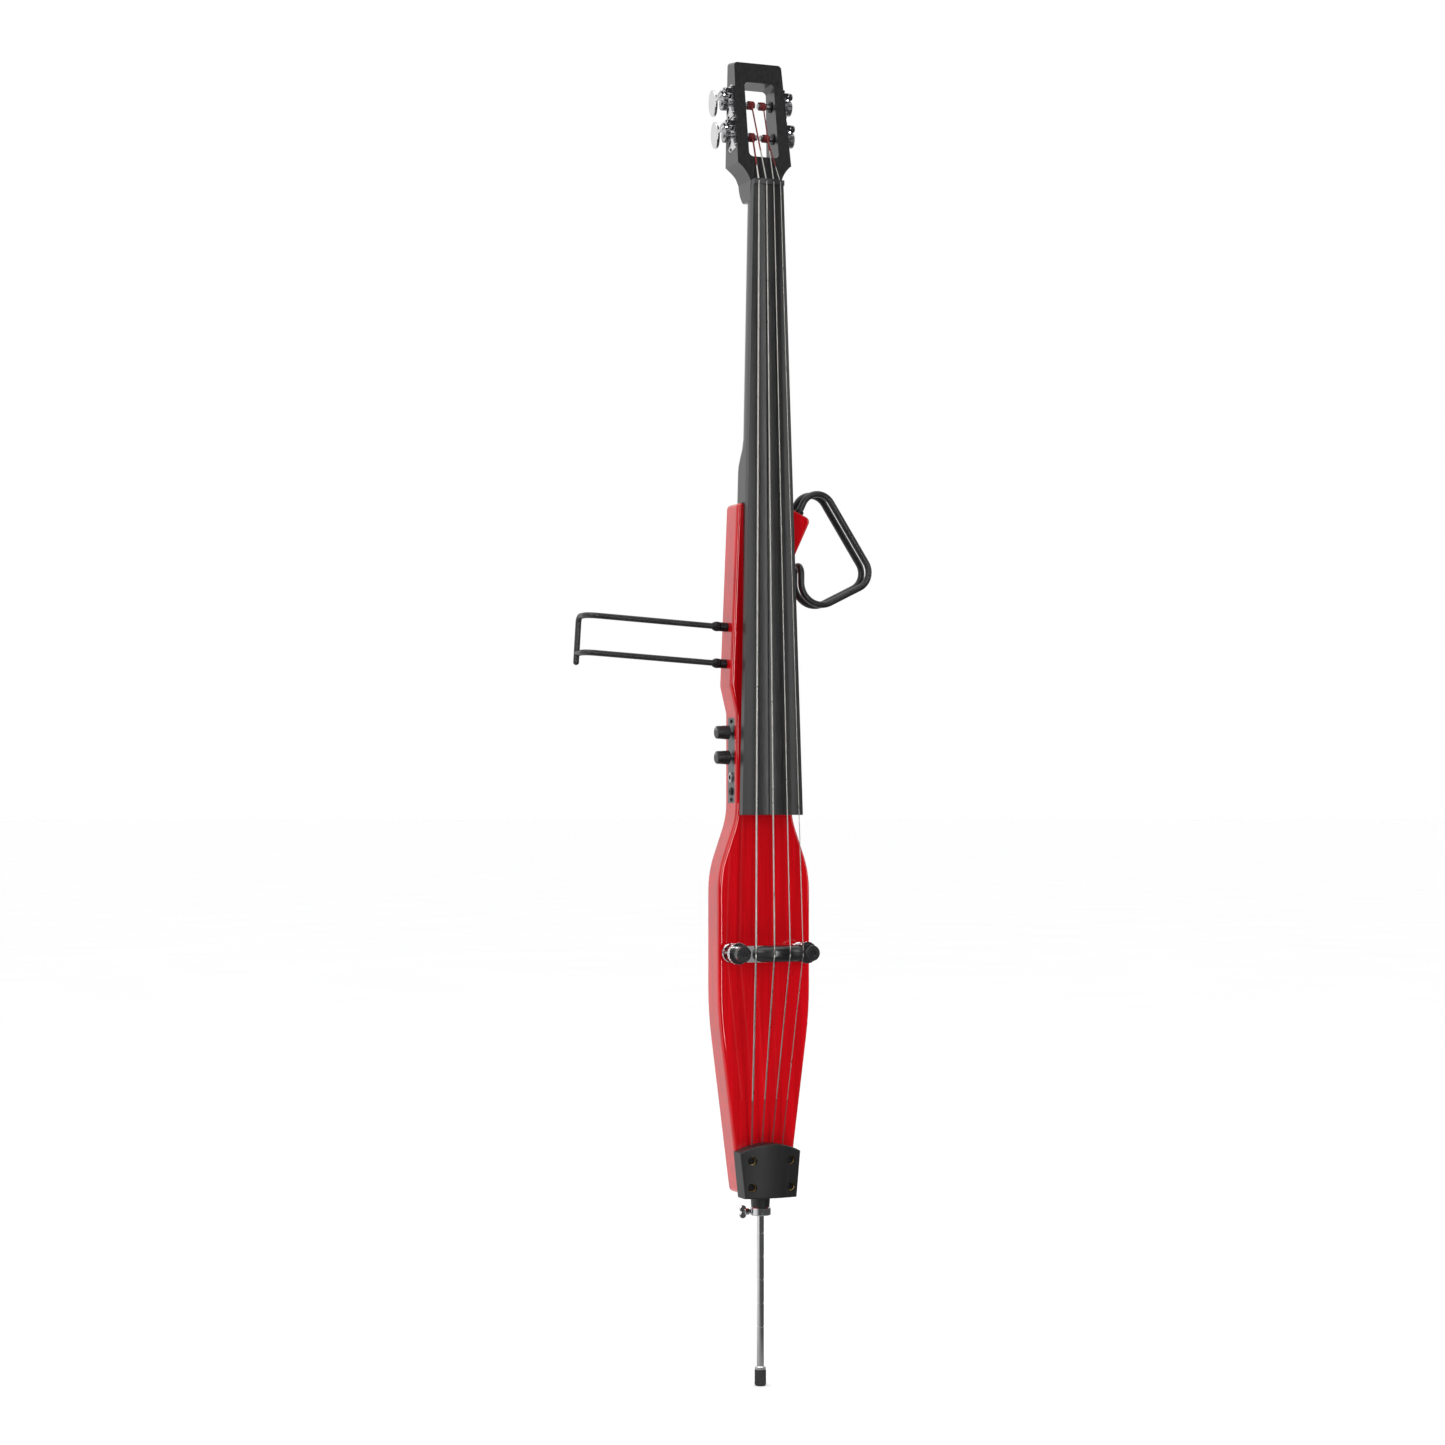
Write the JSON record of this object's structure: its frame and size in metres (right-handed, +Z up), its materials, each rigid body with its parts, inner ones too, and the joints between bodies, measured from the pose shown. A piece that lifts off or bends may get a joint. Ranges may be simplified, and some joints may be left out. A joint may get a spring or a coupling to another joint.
{
  "type": "electric upright bass",
  "caption": "Slab-bodied electric upright bass with bolt-on neck, slotted head, worm tuners, raised bridge bar, telescoping endpin, body rest and shoulder hook.",
  "frame": {"origin": "bottom of the endpin's rubber tip, on the endpin's axis", "axes": "+Z up the instrument, +Y towards its back, +X to the right as seen from the front"},
  "size_m": [0.4184, 0.1455, 1.805],
  "materials": {
    "red_lacquer": "transparent red lacquer over maple, high gloss",
    "black_lacquer": "black lacquer over maple, satin",
    "fingerboard": "ebony, oiled, faint grain",
    "nut": "black composite",
    "string": "flat-wound steel",
    "silk": "dark red silk thread over steel",
    "brass": "turned",
    "chrome": "bright chrome",
    "black_steel": "black oxide",
    "bare_steel": "ground steel",
    "bridge_black": "gloss black",
    "pickup": "piezo disc in a brass cup",
    "satin_black": "satin black ebony block",
    "socket_black": "black, smooth",
    "rubber": "moulded rubber",
    "rod_black": "satin black coating on steel rod",
    "panel": "dark grey anodised",
    "knob": "ribbed black",
    "board": "circuit board",
    "black_plastic": "moulded, fine texture",
    "battery": "plain wrapped cell, no lettering"
  },
  "bodies": {
    "instrument": {"body": "red_lacquer", "neck": "black_lacquer", "truss_rod": "bare_steel", "neck_screws": "black_steel", "fingerboard": "fingerboard", "nut": "nut", "string_e": "string", "string_a": "string", "string_d": "string", "string_g": "string", "ball_ends": "brass", "tuner_plate_e": "chrome", "tuner_plate_a": "chrome", "tuner_plate_d": "chrome", "tuner_plate_g": "chrome", "tuner_bushings": "black_steel", "tuner_screws": "chrome", "bridge_studs": "chrome", "bridge_bases": "chrome", "tail_block": "satin_black", "tail_block_screws": "black_steel", "endpin_socket": "socket_black", "endpin_collar": "chrome", "rod_sockets": "black_steel", "control_plate": "panel", "control_plate_screws": "black_steel", "potentiometers": "bare_steel", "output_jack": "bare_steel", "headphone_jack": "black_plastic", "preamp_board": "board", "battery_box": "black_plastic", "battery": "battery"},
    "key_e": {"tuner_key_e": "chrome"},
    "post_e": {"tuner_post_e": "bare_steel", "winding_e": "silk"},
    "key_a": {"tuner_key_a": "chrome"},
    "post_a": {"tuner_post_a": "bare_steel", "winding_a": "silk"},
    "key_d": {"tuner_key_d": "chrome"},
    "post_d": {"tuner_post_d": "bare_steel", "winding_d": "silk"},
    "key_g": {"tuner_key_g": "chrome"},
    "post_g": {"tuner_post_g": "bare_steel", "winding_g": "silk"},
    "bridge": {"bridge_bar": "bridge_black", "piezo_pickups": "pickup"},
    "thumbwheel_left": {"thumbwheel_left": "chrome"},
    "thumbwheel_right": {"thumbwheel_right": "chrome"},
    "endpin": {"endpin_rod": "chrome", "endpin_ferrule": "chrome", "endpin_tip": "rubber"},
    "endpin_wing_screw": {"endpin_wing_screw": "chrome"},
    "body_rest": {"rest_frame": "rod_black"},
    "lock_nut_upper": {"lock_nut_upper": "black_steel"},
    "lock_nut_lower": {"lock_nut_lower": "black_steel"},
    "shoulder_hook": {"shoulder_hook": "rod_black"},
    "knob_volume": {"knob_volume": "knob"},
    "knob_tone": {"knob_tone": "knob"},
    "battery_door": {"battery_door": "black_plastic"}
  },
  "joints": [
    {"name": "key_e_turn", "type": "hinge", "parent": "instrument", "child": "key_e", "pos_m": [-0.0472, 0.0097, 1.71336], "axis": [0, 0.9848, -0.1736], "continuous": true},
    {"name": "post_e_turn", "type": "hinge", "parent": "instrument", "child": "post_e", "pos_m": [-0.02, 0.00718, 1.69908], "axis": [1, 0, 0], "continuous": true},
    {"name": "key_a_turn", "type": "hinge", "parent": "instrument", "child": "key_a", "pos_m": [-0.0472, 0.01776, 1.75906], "axis": [0, 0.9848, -0.1736], "continuous": true},
    {"name": "post_a_turn", "type": "hinge", "parent": "instrument", "child": "post_a", "pos_m": [-0.02, 0.01524, 1.74478], "axis": [1, 0, 0], "continuous": true},
    {"name": "key_d_turn", "type": "hinge", "parent": "instrument", "child": "key_d", "pos_m": [0.0472, 0.01776, 1.75906], "axis": [0, 0.9848, -0.1736], "continuous": true},
    {"name": "post_d_turn", "type": "hinge", "parent": "instrument", "child": "post_d", "pos_m": [0.02, 0.01524, 1.74478], "axis": [1, 0, 0], "continuous": true},
    {"name": "key_g_turn", "type": "hinge", "parent": "instrument", "child": "key_g", "pos_m": [0.0472, 0.0097, 1.71336], "axis": [0, 0.9848, -0.1736], "continuous": true},
    {"name": "post_g_turn", "type": "hinge", "parent": "instrument", "child": "post_g", "pos_m": [0.02, 0.00718, 1.69908], "axis": [1, 0, 0], "continuous": true},
    {"name": "bridge_lift", "type": "slide", "parent": "instrument", "child": "bridge", "axis": [0, -1, 0], "range_m": [-0.0025, 0.00375], "deforming": ["string_e", "string_a", "string_d", "string_g"]},
    {"name": "thumbwheel_left_turn", "type": "hinge", "parent": "bridge", "child": "thumbwheel_left", "pos_m": [-0.05, -0.0431, 0.588], "axis": [0, -1, 0], "range_deg": [-725, 1085]},
    {"name": "thumbwheel_right_turn", "type": "hinge", "parent": "bridge", "child": "thumbwheel_right", "pos_m": [0.05, -0.0431, 0.588], "axis": [0, -1, 0], "range_deg": [-725, 1085]},
    {"name": "endpin_slide", "type": "slide", "parent": "instrument", "child": "endpin", "axis": [0, 0, 1], "range_m": [-0.12, 0.18]},
    {"name": "wing_screw_turn", "type": "hinge", "parent": "instrument", "child": "endpin_wing_screw", "pos_m": [-0.02, 0, 0.2365], "axis": [1, 0, 0], "range_deg": [-720, 0]},
    {"name": "body_rest_slide", "type": "slide", "parent": "instrument", "child": "body_rest", "axis": [-0.9981, 0, 0.061], "range_m": [0, 0.05]},
    {"name": "lock_nut_upper_turn", "type": "hinge", "parent": "instrument", "child": "lock_nut_upper", "pos_m": [-0.063, 0.0055, 1.0298], "axis": [-0.9981, 0, 0.061], "range_deg": [0, 720]},
    {"name": "lock_nut_lower_turn", "type": "hinge", "parent": "instrument", "child": "lock_nut_lower", "pos_m": [-0.063, 0.0055, 0.9798], "axis": [-0.9981, 0, 0.061], "range_deg": [0, 720]},
    {"name": "shoulder_hook_slide", "type": "slide", "parent": "instrument", "child": "shoulder_hook", "axis": [0.4274, 0, 0.9041], "range_m": [0, 0.034]},
    {"name": "knob_volume_turn", "type": "hinge", "parent": "instrument", "child": "knob_volume", "pos_m": [-0.0545, 0.0035, 0.886], "axis": [1, 0, 0], "range_deg": [-150, 150]},
    {"name": "knob_tone_turn", "type": "hinge", "parent": "instrument", "child": "knob_tone", "pos_m": [-0.0545, 0.0035, 0.852], "axis": [1, 0, 0], "range_deg": [-150, 150]},
    {"name": "battery_door_hinge", "type": "hinge", "parent": "instrument", "child": "battery_door", "pos_m": [0, 0.0253, 0.6412], "axis": [-1, 0, 0], "range_deg": [0, 100]}
  ],
  "couplings": [
    {"joint": "post_e_turn", "follows": "key_e_turn", "ratio": 0.05},
    {"joint": "post_a_turn", "follows": "key_a_turn", "ratio": 0.05},
    {"joint": "post_d_turn", "follows": "key_d_turn", "ratio": 0.05},
    {"joint": "post_g_turn", "follows": "key_g_turn", "ratio": 0.05},
    {"joint": "thumbwheel_left_turn", "follows": "bridge_lift", "rad_per_m": 5026.5},
    {"joint": "thumbwheel_right_turn", "follows": "bridge_lift", "rad_per_m": 5026.5}
  ]
}
